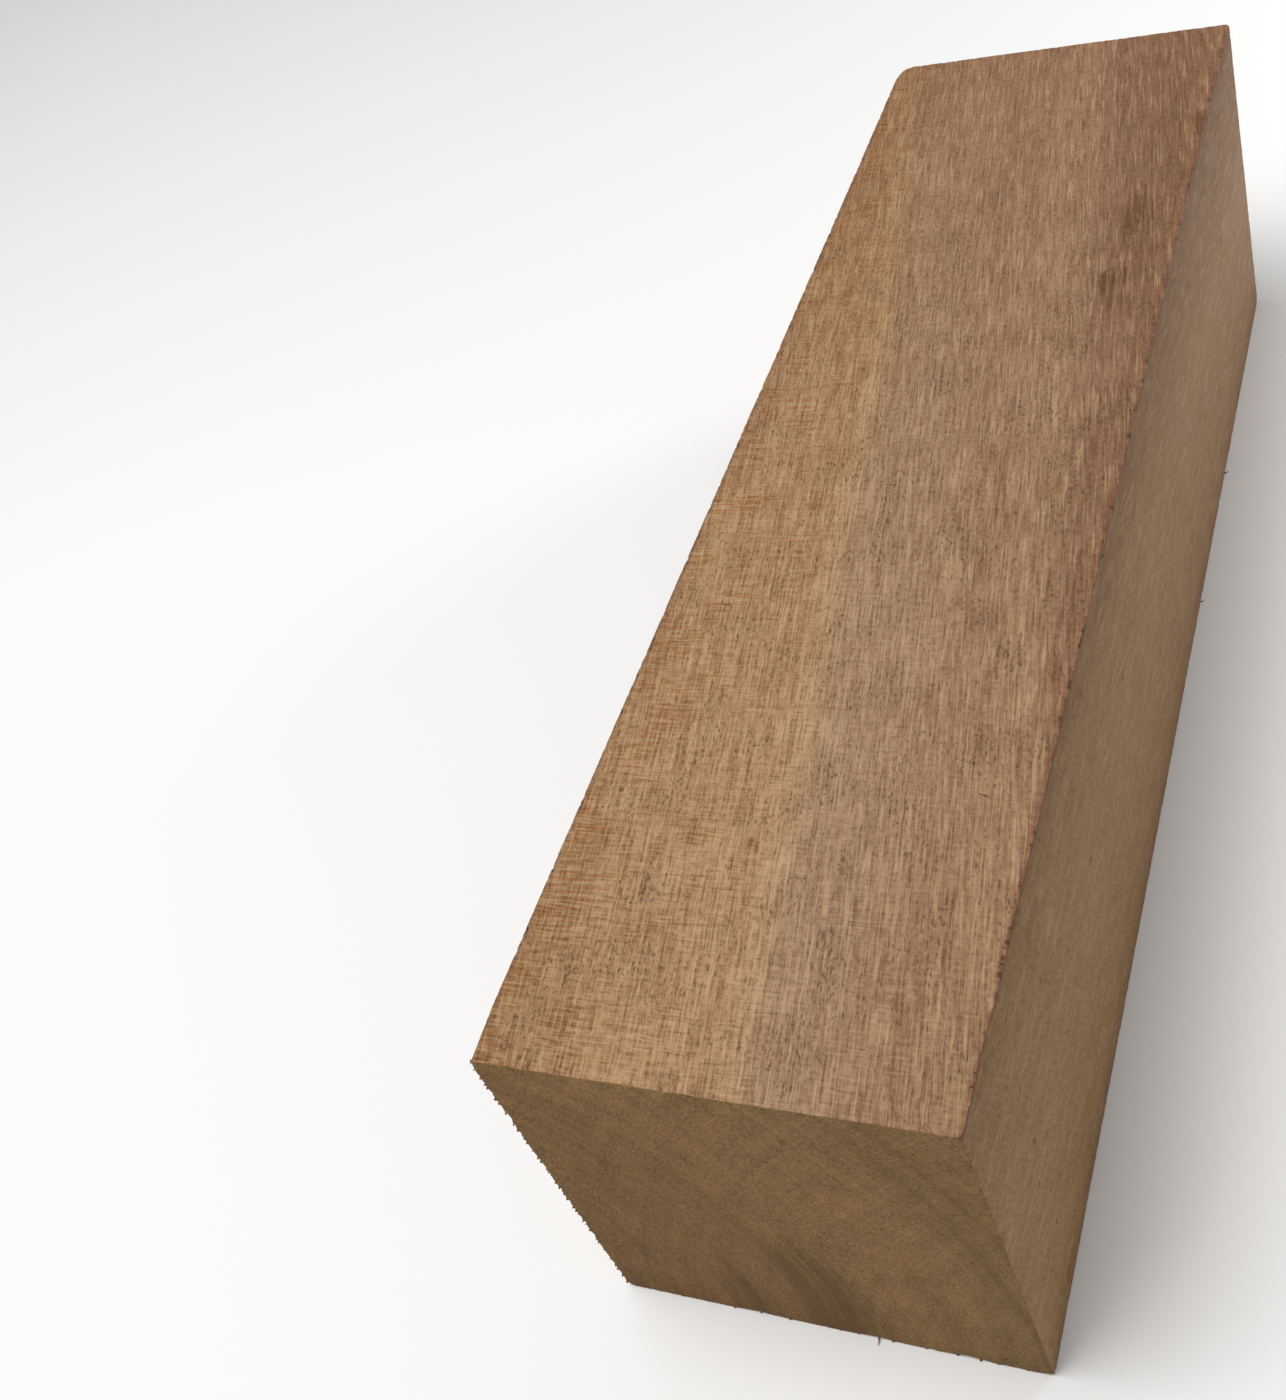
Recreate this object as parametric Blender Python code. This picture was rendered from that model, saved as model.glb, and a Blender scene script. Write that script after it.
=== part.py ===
"""A short length of sawn iroko beam: one squared block of solid timber, with worn arrises and knocked corners.

The frame has X across the beam, Y along it and Z up. Its origin is the middle of the underside.
Positive Y runs from the near end to the far end.
"""

import random

import bmesh
import bpy
from mathutils import Vector, noise

MM = 0.001

# Driving sizes of the squared block
WIDTH = 100 * MM
LENGTH = 365 * MM
HEIGHT = 100 * MM

# How an ordinary sawn arris is blunted
BLUNT = 0.3 * MM
BLUNT_SEGMENTS = 2
LEAST_WEAR = 0.5
MOST_WEAR = 6.0
STATION_SPACING = 3.2 * MM
STATION_JITTER = 0.3
QUIET_ENDS = 7 * MM

# Slow and quick changes of the wear along an arris: how long each is, and how much it adds
SLOW_LENGTH = 26 * MM
SLOW_SHARE = 0.55
QUICK_LENGTH = 6 * MM
QUICK_SHARE = 0.35

# Small chips that handling leaves at random along an arris
CHIP_SPACING = 34 * MM
CHIP_LENGTHS = (3.5 * MM, 8 * MM)
CHIP_DEPTHS = (0.35 * MM, 0.9 * MM)

# Arrises that are still crisp, with no such chips. A key holds the side of each axis that the arris
# is on, and 0 for the axis that it runs along.
CRISP_ARRISES = ((0, -1, 1), (1, -1, 0), (-1, -1, 0), (-1, 0, 1), (1, 0, -1), (0, 1, 1), (1, 1, 0))

SEED = 27

# Flat bites out of a corner. The key says which corner, as the sides of X, Y and Z that it is on.
# Each bite is the distance from the corner, along X, Y and Z, at which its plane leaves the block.
CORNER_BITES = {
    (-1, 1, 1): (
        (2.7 * MM, 3.6 * MM, 9 * MM),
        (4.2 * MM, 1.7 * MM, 7 * MM),
        (1.4 * MM, 6.2 * MM, 7 * MM),
    ),
    (-1, -1, 1): ((0.7 * MM, 13 * MM, 3 * MM),),
    (1, -1, 1): ((1.1 * MM, 1.8 * MM, 1.2 * MM),),
    (1, -1, -1): ((2.6 * MM, 1.9 * MM, 1.1 * MM),),
    (-1, -1, -1): ((1.3 * MM, 1.8 * MM, 1.6 * MM),),
    (1, 1, 1): ((0.9 * MM, 1.4 * MM, 0.9 * MM),),
    (-1, 1, -1): ((2.4 * MM, 3.1 * MM, 2.8 * MM),),
    (1, 1, -1): ((1.5 * MM, 2 * MM, 1.8 * MM),),
}

# Chips with a known place, as the distance from the low end of the arris, the length and the depth.
PLACED_CHIPS = {
    (1, 0, 1): (
        (19 * MM, 15 * MM, 0.5 * MM),
        (48 * MM, 11 * MM, 0.45 * MM),
        (79 * MM, 7 * MM, 0.5 * MM),
        (118 * MM, 9 * MM, 0.6 * MM),
        (143 * MM, 10 * MM, 1.3 * MM),
        (172 * MM, 8 * MM, 0.7 * MM),
        (212 * MM, 7 * MM, 1.1 * MM),
        (281 * MM, 6 * MM, 0.8 * MM),
        (309 * MM, 12 * MM, 1.0 * MM),
    ),
    (0, -1, 1): ((21 * MM, 4 * MM, 0.35 * MM), (34 * MM, 5 * MM, 0.6 * MM)),
    (0, -1, -1): ((61 * MM, 6 * MM, 0.7 * MM), (83 * MM, 8 * MM, 0.5 * MM)),
}

# The warm brown of the sawn wood, as linear light
IROKO_COLOR = (0.33, 0.195, 0.105, 1.0)
IROKO_ROUGHNESS = 0.72

LOW = Vector((-WIDTH / 2, -LENGTH / 2, 0.0))
HIGH = Vector((WIDTH / 2, LENGTH / 2, HEIGHT))


def clear_scene():
    for obj in list(bpy.data.objects):
        bpy.data.objects.remove(obj, do_unlink=True)


def squared_block():
    """The block as it left the saw, with sharp arrises."""
    bm = bmesh.new()
    bmesh.ops.create_cube(bm, size=1.0)
    for vert in bm.verts:
        vert.co = Vector(HIGH[a] if vert.co[a] > 0 else LOW[a] for a in range(3))
    return bm


def corner_point(sides):
    return Vector(HIGH[a] if sides[a] > 0 else LOW[a] for a in range(3))


def bite_corner(bm, sides, reach):
    """Cuts one corner off by the plane that leaves the three arrises at the distances in reach."""
    corner = corner_point(sides)
    normal = Vector(sides[a] / reach[a] for a in range(3)).normalized()
    along_x = Vector((-sides[0] * reach[0], 0.0, 0.0))
    everything = bm.verts[:] + bm.edges[:] + bm.faces[:]
    cut = bmesh.ops.bisect_plane(
        bm, geom=everything, plane_co=corner + along_x, plane_no=normal, clear_outer=True
    )
    rim = [item for item in cut["geom_cut"] if isinstance(item, bmesh.types.BMEdge)]
    bmesh.ops.contextual_create(bm, geom=rim)


def station_cuts(length, draw):
    """Where an arris of this length gets its points, as growing shares of the length."""
    count = max(1, round(length / STATION_SPACING))
    for step in range(1, count):
        yield (step + draw.uniform(-STATION_JITTER, STATION_JITTER)) / count


def split_arrises(bm, draw):
    """Puts points along every arris, so that its wear can change from one to the next."""
    edges = sorted(bm.edges, key=lambda e: tuple(round(c, 6) for v in e.verts for c in v.co))
    for edge in edges:
        if edge.calc_length() < 3 * STATION_SPACING:
            continue
        start, end = (vert.co.copy() for vert in edge.verts)
        anchor = edge.verts[0]
        for share in station_cuts((end - start).length, draw):
            target = start.lerp(end, share)
            remaining = (edge.other_vert(anchor).co - anchor.co).length
            edge, anchor = bmesh.utils.edge_split(
                edge, anchor, (target - anchor.co).length / remaining
            )
            anchor.co = target
            edge = onward_edge(anchor, end)


def onward_edge(vert, end):
    """The edge at this point that leads on towards the end of the arris."""
    return min(vert.link_edges, key=lambda e: (e.other_vert(vert).co - end).length)


def blunt_arrises(bm):
    bmesh.ops.bevel(
        bm,
        geom=bm.edges[:],
        offset=BLUNT,
        offset_type="OFFSET",
        segments=BLUNT_SEGMENTS,
        profile=0.5,
        affect="EDGES",
    )


def chips_of(arris, span, draw):
    """Every chip of one arris: those with a known place, and those left by handling."""
    chips = list(PLACED_CHIPS.get(arris, ()))
    if arris in CRISP_ARRISES:
        return chips
    for _ in range(int(span / CHIP_SPACING)):
        chips.append(
            (draw.uniform(0.06, 0.94) * span, draw.uniform(*CHIP_LENGTHS), draw.uniform(*CHIP_DEPTHS))
        )
    return chips


def wear_at(place, span, chips, key):
    """How many times wider than BLUNT the arris is worn at this distance from its low end."""
    slow = noise.noise(Vector((place / SLOW_LENGTH, key, 0.0)))
    quick = noise.noise(Vector((place / QUICK_LENGTH, key, 9.0)))
    wear = 1.0 + SLOW_SHARE * slow + QUICK_SHARE * quick
    for middle, length, depth in chips:
        closeness = 1.0 - abs(place - middle) / (length / 2)
        if closeness > 0.0:
            wear += depth / BLUNT * min(1.0, 1.6 * closeness)
    quiet = min(1.0, min(place, span - place) / QUIET_ENDS)
    wear = 1.0 + (wear - 1.0) * quiet
    return max(LEAST_WEAR, min(MOST_WEAR, wear))


def nearest_arris(point):
    """The arris that a blunted point belongs to, the two axes across it and the one along it."""
    gaps = sorted((min(point[a] - LOW[a], HIGH[a] - point[a]), a) for a in range(3))
    if gaps[1][0] > BLUNT * 1.01:
        return None
    across = (gaps[0][1], gaps[1][1])
    along = gaps[2][1]
    sides = [0, 0, 0]
    for axis in across:
        sides[axis] = 1 if point[axis] - LOW[axis] > HIGH[axis] - point[axis] else -1
    return tuple(sides), across, along


def wear_arrises(bm, draw):
    """Moves the blunted points further in or out, always within the flat faces that they lie on."""
    spans = HIGH - LOW
    signs = (-1, 0, 1)
    arrises = [(x, y, z) for x in signs for y in signs for z in signs if (x, y, z).count(0) == 1]
    chips = {arris: chips_of(arris, spans[arris.index(0)], draw) for arris in arrises}
    for vert in bm.verts:
        found = nearest_arris(vert.co)
        if found is None:
            continue
        arris, across, along = found
        place = vert.co[along] - LOW[along]
        wear = wear_at(place, spans[along], chips[arris], 3.7 * arrises.index(arris))
        for axis in across:
            limit = HIGH[axis] if arris[axis] > 0 else LOW[axis]
            vert.co[axis] = limit + (vert.co[axis] - limit) * wear


def iroko():
    material = bpy.data.materials.new("iroko")
    material.use_nodes = True
    surface = material.node_tree.nodes["Principled BSDF"]
    surface.inputs["Base Color"].default_value = IROKO_COLOR
    surface.inputs["Roughness"].default_value = IROKO_ROUGHNESS
    surface.inputs["Metallic"].default_value = 0.0
    material.diffuse_color = IROKO_COLOR
    return material


def make_beam():
    draw = random.Random(SEED)
    bm = squared_block()
    for sides, bites in CORNER_BITES.items():
        for reach in bites:
            bite_corner(bm, sides, reach)
    split_arrises(bm, draw)
    blunt_arrises(bm)
    wear_arrises(bm, draw)
    bmesh.ops.triangulate(bm, faces=bm.faces[:], ngon_method="BEAUTY")
    bmesh.ops.recalc_face_normals(bm, faces=bm.faces[:])
    mesh = bpy.data.meshes.new("beam")
    bm.to_mesh(mesh)
    bm.free()
    mesh.materials.append(iroko())
    beam = bpy.data.objects.new("beam", mesh)
    bpy.context.scene.collection.objects.link(beam)
    return beam


def main():
    clear_scene()
    make_beam()


main()
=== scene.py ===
"""The looks of a short length of sawn iroko beam: sawn faces, torn arrises, splinters and stage.

Sizes are in metres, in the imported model's own frame: X across the beam, Y along it from the near end
to the far end, and Z up. Patterns are laid out in millimetres, from the Object coordinates.
"""

import math
import random

import bmesh
import bpy
from mathutils import Matrix, Vector, noise


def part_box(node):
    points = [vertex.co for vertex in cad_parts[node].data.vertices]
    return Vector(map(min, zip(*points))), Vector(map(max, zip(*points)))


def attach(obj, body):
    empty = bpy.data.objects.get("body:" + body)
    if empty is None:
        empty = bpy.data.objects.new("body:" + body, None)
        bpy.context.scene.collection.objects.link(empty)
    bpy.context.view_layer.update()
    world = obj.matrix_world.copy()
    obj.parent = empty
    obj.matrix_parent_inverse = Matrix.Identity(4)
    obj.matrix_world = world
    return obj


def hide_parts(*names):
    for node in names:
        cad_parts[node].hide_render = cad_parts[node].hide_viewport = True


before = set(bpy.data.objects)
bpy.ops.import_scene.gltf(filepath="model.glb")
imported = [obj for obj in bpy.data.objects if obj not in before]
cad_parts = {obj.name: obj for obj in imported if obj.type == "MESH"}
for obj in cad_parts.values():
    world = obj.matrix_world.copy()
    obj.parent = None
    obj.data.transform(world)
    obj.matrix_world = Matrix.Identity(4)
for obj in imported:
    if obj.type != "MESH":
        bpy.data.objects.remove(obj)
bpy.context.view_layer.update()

LOW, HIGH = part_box("beam")
SIZE = HIGH - LOW
CENTRE = (LOW + HIGH) / 2

bl_info = {
    "name": "Sawn iroko beam",
    "version": (1, 0, 0),
    "blender": (4, 5, 0),
    "location": "3D View > Sidebar > Iroko",
    "description": "Dresses a squared block of iroko with its sawn faces, end grain and torn arrises",
    "category": "Add Mesh",
}

MM = 0.001
SEED = 41

# Where the rows of points run beside every arris, as distances in from it
RIM_MARGINS = (0.25 * MM, 0.5 * MM, 1 * MM, 2 * MM, 4 * MM)
RIM_WIDTH = 1 * MM

# An edge longer than this crosses a whole face, or one of its columns
FACE_EDGE = 20 * MM
COLUMN_EDGE = 2.5 * MM
MOST_CUTS = 100
TINY = 0.01 * MM

# How far from an arris a face takes its full height, and how far in the nicks reach: from and to
OFF_ARRIS = (0.3 * MM, 3 * MM)
NICKED = (0.1 * MM, 0.8 * MM)

# The near left arris is nicked this many times deeper, within this distance of it
TORN_MORE = 1.8
TORN_REACH = 2 * MM

# Waves of the sawn surface: how long they are across, along and up in millimetres, and their shift
SAW_RIDGES = ((40, 1.3, 40), (0, 0, 0))
FINE_RIDGES = ((14, 0.8, 14), (0, 0, 9))
ROUGH_WAVES = ((34, 48, 34), (0, 0, -5))
SMOOTH_WAVES = ((28, 60, 28), (0, 0, 31))
RIPPLES = ((30, 3.5, 30), (0, 0, 17))
NICKS = ((1.3, 1.1, 1.1), (0, 7, 0))
LONG_NICKS = ((5, 6, 5), (0, 0, 3))

# The finishes, in the order of the block's material slots
BAND_SAWN, FINE_SAWN, END_GRAIN = range(3)

# A polygon belongs to a side of the block when its normal points at least this much that way
FACING = 0.7
SMOOTH_ANGLE = math.radians(35)

# The specular level of the wood and the floor, and how deep the bumps of each finish are
MATT = 0.28
ROUGH_BUMP = 0.4 * MM
SMOOTH_BUMP = 0.16 * MM
END_BUMP = 0.2 * MM

# The middle of the tree, where it meets the plane of the near end, and the way that it runs off
PITH_AT_NEAR_END = (-99.0, -182.5, 11.0)
PITH_DIRECTION = (-0.021, 1.0, -0.099)

# How long the waves of the growth rings are, in millimetres across, along and up
RING_WAVES = (26.0, 120.0, 26.0)

# How far the fibres drift along X and Z for each millimetre along Y
TOP_LEAN = (-0.145, 0.0, -0.015)
SIDE_LEAN = (-0.01, 0.0, -0.1)
NO_LEAN = (0.0, 0.0, 0.0)

# Radius from the pith, in millimetres, and the colour of the wood there
RINGS = (
    (50, "ochre"),
    (98, "orange_tan"),
    (111, "yellow_tan"),
    (120, "light_tan"),
    (134, "light_tan"),
    (136.5, "golden"),
    (140, "mauve_tan"),
    (150, "mauve_tan"),
    (161, "pink_brown"),
    (172, "mauve_tan"),
    (179, "red_brown"),
    (186, "red_brown"),
    (205, "pink_brown"),
)

# What a patch of wood is multiplied by where it is darkest and where it is lightest
DARKEST = (0.52, 0.40, 0.28, 1.0)
LIGHTEST = (1.48, 1.60, 1.72, 1.0)

# The same for the end grain, where the hue hardly changes
END_DARKEST = (0.44, 0.40, 0.34, 1.0)
END_LIGHTEST = (1.56, 1.60, 1.66, 1.0)

# What the wood of the rough faces is multiplied by: towards the far end, towards the right, where
# it is mottled near the left arris, and where it is stained
FAR_HUE = (1.0, 0.965, 0.95, 1.0)
RIGHT_HUE = (0.98, 0.955, 0.90, 1.0)
RUSSET_HUE = (0.88, 0.73, 0.56, 1.0)
STAIN_HUE = (0.60, 0.48, 0.38, 1.0)

# The same for the smooth faces: in two kinds of patches, towards their upper arrises, and along the
# far part of those
YELLOW_HUE = (1.01, 1.01, 0.92, 1.0)
GREY_HUE = (0.99, 0.98, 1.06, 1.0)
UPPER_HUE = (0.98, 0.93, 0.76, 1.0)
ARRIS_HUE = (0.86, 0.76, 0.68, 1.0)

# The same for the whole of both ends
END_HUE = (0.73, 0.71, 0.46, 1.0)

# What the ring colours are evened out towards: on the smooth faces near and far, on the ends, and
# on the lower left of the ends
SIDE_NEAR = (0.268, 0.151, 0.046, 1.0)
# The far colour of the smooth faces is bluer: partly the wood's own tone, partly a painted cool sheen from
# the sky
SIDE_FAR_TONE_AND_SHEEN = (0.246, 0.144, 0.067, 1.0)
END_EVEN = (0.232, 0.128, 0.038, 1.0)
END_LOWER_LEFT = (0.190, 0.092, 0.022, 1.0)

# The middle of the crosscut saw's blade as it left the end faces, in millimetres across and up
BLADE_CENTRE = (122.0, -18.0)
BLADE_RADIUS = 143.0

# The same for the faint scratches of the smooth sides, in millimetres along and up
SIDE_ARC_CENTRE = (405.0, 376.0)
SIDE_ARC_RADIUS = 540.0

# The stage: sizes and places in metres, and the camera's turn in degrees
FLOOR_SIZE = 12.0
SOFTBOX_AIM = (0.0, 0.0, 0.08)
KEY_PLACE = (-0.4, -0.35, 1.6)
KEY_SIZE = 1.1
FILL_PLACE = (0.5, 0.6, 0.25)
FILL_SIZE = 0.25
CAMERA_PLACE = (0.13462, -0.32028, 0.37444)
CAMERA_TURN = (45.64122, 19.15807, 20.70821)
CAMERA_SHIFT = (0.02778, -0.02625)


def number_setting(name, description, default, least=0.0, unit="NONE"):
    return bpy.props.FloatProperty(
        name=name, description=description, default=default, min=least, unit=unit
    )


def length_setting(name, description, default, least=0.0):
    return number_setting(name, description, default, least, "LENGTH")


def color_setting(name, description, default):
    return bpy.props.FloatVectorProperty(
        name=name, description=description, default=default, min=0.0, max=1.0, subtype="COLOR"
    )


class BeamSettings(bpy.types.PropertyGroup):
    """Sizes of the sawn surface."""

    row_spacing: length_setting(
        "Row spacing", "Distance between the rows of points along the beam", 0.51 * MM, 0.1 * MM
    )
    column_spacing: length_setting(
        "Column spacing", "Distance between the columns of points across each face", 6.2 * MM, 1 * MM
    )
    rim_spacing: length_setting(
        "Rim spacing", "Distance between the points along the arrises of both ends", 0.52 * MM, 0.1 * MM
    )
    ridge_height: length_setting(
        "Ridge height", "Height of the ridges that the band saw left across the faces", 0.05 * MM
    )
    wander: length_setting("Wander", "How far the saw wandered from a true plane", 0.08 * MM)
    raggedness: length_setting("Raggedness", "Depth of the small nicks along the arrises", 0.22 * MM)


class SplinterSettings(bpy.types.PropertyGroup):
    """Sizes of the splinters and loose fibres."""

    radius: length_setting("Radius", "Radius of an ordinary splinter at its root", 0.13 * MM, 0.02 * MM)
    rooted: length_setting("Rooted", "How deep the root of a splinter is sunk into the wood", 0.2 * MM)
    stub_length: length_setting(
        "Stub length", "Length of the short stubs along the torn arrises of the near end", 0.4 * MM, 0.1 * MM
    )
    fibre_length: length_setting(
        "Fibre length", "Length of the fibres that lie along the upper right arris", 4 * MM, 0.5 * MM
    )


class TimberColors(bpy.types.PropertyGroup):
    """Colours of the wood, from the innermost rings outwards, and of the marks on it."""

    ochre: color_setting("Ochre", "Wood nearest the pith", (0.262, 0.147, 0.066))
    orange_tan: color_setting("Orange tan", "Warm band inside the light rings", (0.280, 0.150, 0.066))
    yellow_tan: color_setting(
        "Yellow tan", "Band between the warm and the light rings", (0.315, 0.174, 0.08)
    )
    light_tan: color_setting("Light tan", "Lightest rings", (0.336, 0.189, 0.090))
    golden: color_setting("Golden", "Narrow bright ring outside the lightest ones", (0.352, 0.206, 0.098))
    mauve_tan: color_setting("Mauve tan", "Greyer band outside the light rings", (0.295, 0.170, 0.092))
    pink_brown: color_setting("Pink brown", "Pinkish outer wood", (0.276, 0.152, 0.08))
    red_brown: color_setting("Red brown", "Darkest of the outer rings", (0.232, 0.122, 0.066))
    fibre: color_setting("Raised fibres", "Pale fibres that the saw lifted", (0.46, 0.30, 0.175))
    pore: color_setting("Pores", "Open pores and torn grain", (0.075, 0.029, 0.007))
    rust: color_setting("Rust brown", "Warm mottles and the torn wood of the arrises", (0.150, 0.062, 0.025))
    gum: color_setting("Dark heart", "Dark zone and gum rings of the end grain", (0.108, 0.049, 0.010))


class StageSettings(bpy.types.PropertyGroup):
    """Floor, light and camera."""

    floor_color: color_setting("Floor", "Colour of the pale floor", (0.9, 0.9, 0.895))
    sky_strength: number_setting("Sky strength", "Strength of the even light from all round", 0.26)
    key_power: number_setting(
        "Key power", "Power of the large softbox above the near end", 25.0, unit="POWER"
    )
    fill_power: number_setting(
        "Fill power", "Power of the small softbox beyond the far right", 2.2, unit="POWER"
    )
    lens: number_setting("Lens", "Focal length of the camera, in millimetres", 45.293, least=1.0)


class Bench:
    """Short ways to add the nodes of one tree and to wire them."""

    def __init__(self, tree):
        self.tree = tree

    def add(self, kind, **settings):
        node = self.tree.nodes.new(kind)
        for name, value in settings.items():
            setattr(node, name, value)
        return node

    def feed(self, socket, value):
        """Links a socket, or sets it to a plain value."""
        if isinstance(value, bpy.types.NodeSocket):
            self.tree.links.new(value, socket)
        else:
            socket.default_value = value

    def feed_first(self, node, *values):
        """Feeds the first inputs of a node in their order, and returns its outputs."""
        for socket, value in zip(node.inputs, values):
            self.feed(socket, value)
        return node.outputs

    def feed_named(self, node, values):
        """Feeds the inputs of these names, and returns the outputs of the node."""
        for name, value in values.items():
            self.feed(node.inputs[name], value)
        return node.outputs

    def maths(self, operation, *values):
        return self.feed_first(self.add("ShaderNodeMath", operation=operation), *values)["Value"]

    def times(self, product, *others):
        for value in others:
            product = self.maths("MULTIPLY", product, value)
        return product

    def total(self, total, *others):
        for value in others:
            total = self.maths("ADD", total, value)
        return total

    def strongest(self, masks):
        most = 0.0
        for mask in masks:
            most = self.maths("MAXIMUM", mask, most)
        return most

    def vectors(self, operation, *values, result="Vector"):
        node = self.add("ShaderNodeVectorMath", operation=operation)
        return self.feed_first(node, *values)[result]

    def scaled(self, vector, factor):
        node = self.add("ShaderNodeVectorMath", operation="SCALE")
        return self.feed_named(node, {"Vector": vector, "Scale": factor})["Vector"]

    def split(self, vector):
        return tuple(self.feed_first(self.add("ShaderNodeSeparateXYZ"), vector))

    def join(self, *parts):
        return self.feed_first(self.add("ShaderNodeCombineXYZ"), *parts)[0]

    def ramp(self, value, low, high, start=0.0, end=1.0, soft=False):
        """Takes the range from low to high to the range from start to end, and holds it there."""
        node = self.add("ShaderNodeMapRange", clamp=True)
        node.interpolation_type = "SMOOTHSTEP" if soft else "LINEAR"
        return self.feed_first(node, value, low, high, start, end)[0]

    def noise(self, place, scale=1.0, detail=0.0, roughness=0.5, result="Fac"):
        values = {"Vector": place, "Scale": scale, "Detail": detail, "Roughness": roughness}
        return self.feed_named(self.add("ShaderNodeTexNoise"), values)[result]

    def mix(self, amount, first, second, blend="MIX"):
        node = self.add("ShaderNodeMix", data_type="RGBA", blend_type=blend)
        for index, value in ((0, amount), (6, first), (7, second)):
            self.feed(node.inputs[index], value)
        return node.outputs[2]


def opaque(color):
    return (*color, 1.0)


def start_group(name, inputs, outputs):
    """An empty shader group that is given a Place and these inputs, each with its default."""
    tree = bpy.data.node_groups.new(name, "ShaderNodeTree")
    for label, default in {"Place": (0.0, 0.0, 0.0), **inputs}.items():
        kind = "NodeSocketVector" if isinstance(default, tuple) else "NodeSocketFloat"
        socket = tree.interface.new_socket(label, in_out="INPUT", socket_type=kind)
        socket.default_value = default
    for label in outputs:
        tree.interface.new_socket(label, in_out="OUTPUT", socket_type="NodeSocketFloat")
    given = tree.nodes.new("NodeGroupInput").outputs
    wanted = tree.nodes.new("NodeGroupOutput").inputs
    return Bench(tree), given, wanted


def leaned(bench, place, lean):
    """The place moved back along the drift of the fibres, so that a fibre keeps one X and one Z."""
    along = bench.split(place)[1]
    return bench.vectors("SUBTRACT", place, bench.scaled(lean, along))


def arris_group(name):
    """Distance to the nearest of the four long arrises, and how deep the surface lies below the sides."""
    inputs = {"Middle": tuple(CENTRE / MM), "Half size": tuple(SIZE / MM / 2)}
    bench, given, wanted = start_group(name, inputs, ("Distance", "Depth"))
    offset = bench.vectors("SUBTRACT", given["Place"], given["Middle"])
    apart = bench.vectors("ABSOLUTE", offset)
    inside = bench.split(bench.vectors("SUBTRACT", given["Half size"], apart))
    least = bench.maths("MINIMUM", bench.maths("MINIMUM", inside[0], inside[1]), inside[2])
    bench.feed(wanted["Distance"], bench.maths("MAXIMUM", inside[0], inside[2]))
    bench.feed(wanted["Depth"], least)
    return bench.tree


def rings_group(name):
    """Distance from the pith, wavering a little as growth rings do."""
    inputs = {"Pith": PITH_AT_NEAR_END, "Direction": PITH_DIRECTION, "Waver": 5.0}
    bench, given, wanted = start_group(name, inputs, ("Radius",))
    axis = bench.vectors("NORMALIZE", given["Direction"])
    offset = bench.vectors("SUBTRACT", given["Place"], given["Pith"])
    along = bench.vectors("DOT_PRODUCT", offset, axis, result="Value")
    across = bench.vectors("SUBTRACT", offset, bench.scaled(axis, along))
    radius = bench.vectors("LENGTH", across, result="Value")
    stretched = bench.vectors("DIVIDE", given["Place"], RING_WAVES)
    bend = bench.maths("SUBTRACT", bench.noise(stretched, detail=1.0), 0.5)
    bench.feed(wanted["Radius"], bench.maths("MULTIPLY_ADD", bend, given["Waver"], radius))
    return bench.tree


def grain_group(name):
    """Noise drawn out along the drift of the fibres: what lies between two levels, and thin lines."""
    inputs = {
        "Lean": NO_LEAN,
        "Size": (1.0, 1.0, 1.0),
        "Shift": (0.0, 0.0, 0.0),
        "Detail": 0.0,
        "Roughness": 0.5,
        "Low": 0.0,
        "High": 1.0,
        "Width": 0.05,
    }
    bench, given, wanted = start_group(name, inputs, ("Mask", "Line", "Shade"))
    straight = leaned(bench, given["Place"], given["Lean"])
    cells = bench.vectors("ADD", bench.vectors("DIVIDE", straight, given["Size"]), given["Shift"])
    value = bench.noise(cells, detail=given["Detail"], roughness=given["Roughness"])
    bench.feed(wanted["Mask"], bench.ramp(value, given["Low"], given["High"]))
    from_middle = bench.maths("SUBTRACT", value, 0.5)
    on_line = bench.maths("ABSOLUTE", from_middle)
    bench.feed(wanted["Line"], bench.ramp(on_line, given["Width"], 0.0))
    # Shade: a second line just beside the thin line, where a painted highlight is laid
    beside = bench.maths("ABSOLUTE", bench.maths("MULTIPLY_ADD", given["Width"], -1.7, from_middle))
    bench.feed(wanted["Shade"], bench.ramp(beside, given["Width"], 0.0))
    return bench.tree


def pores_group(name):
    """Scattered short strokes along the fibres. Share is how many of the cells hold a stroke."""
    inputs = {"Lean": NO_LEAN, "Cell": (1.0, 6.0, 1.0), "Thickness": 0.2, "Share": 0.5}
    bench, given, wanted = start_group(name, inputs, ("Mask",))
    straight = leaned(bench, given["Place"], given["Lean"])
    cells = bench.vectors("DIVIDE", straight, given["Cell"])
    node = bench.add("ShaderNodeTexVoronoi", feature="F1")
    pore = bench.feed_named(node, {"Vector": cells, "Scale": 1.0})
    draw = bench.split(pore["Color"])
    present = bench.maths("LESS_THAN", draw[0], given["Share"])
    width = bench.times(given["Thickness"], bench.ramp(draw[1], 0.0, 1.0, 0.45, 1.0))
    stroke = bench.ramp(pore["Distance"], width, bench.times(width, 0.35), soft=True)
    bench.feed(wanted["Mask"], bench.times(stroke, present))
    return bench.tree


def mark_group(name):
    """One soft stain or pit: 1 at its middle and 0 beyond its reach, which wavers as it is told."""
    inputs = {"Middle": (0.0, 0.0, 0.0), "Reach": (1.0, 1.0, 1.0), "Waver": 0.0}
    bench, given, wanted = start_group(name, inputs, ("Mask",))
    offset = bench.vectors("SUBTRACT", given["Place"], given["Middle"])
    offset = bench.vectors("DIVIDE", offset, given["Reach"])
    apart = bench.vectors("LENGTH", offset, result="Value")
    apart = bench.maths("ADD", apart, given["Waver"])
    bench.feed(wanted["Mask"], bench.ramp(apart, 1.0, 0.25, soft=True))
    return bench.tree


def start_material(name):
    """A new matt material, and the inputs of its surface."""
    material = bpy.data.materials.new(name)
    material.use_nodes = True
    surface = material.node_tree.nodes["Principled BSDF"].inputs
    surface["Specular IOR Level"].default_value = MATT
    return material, surface


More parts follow.
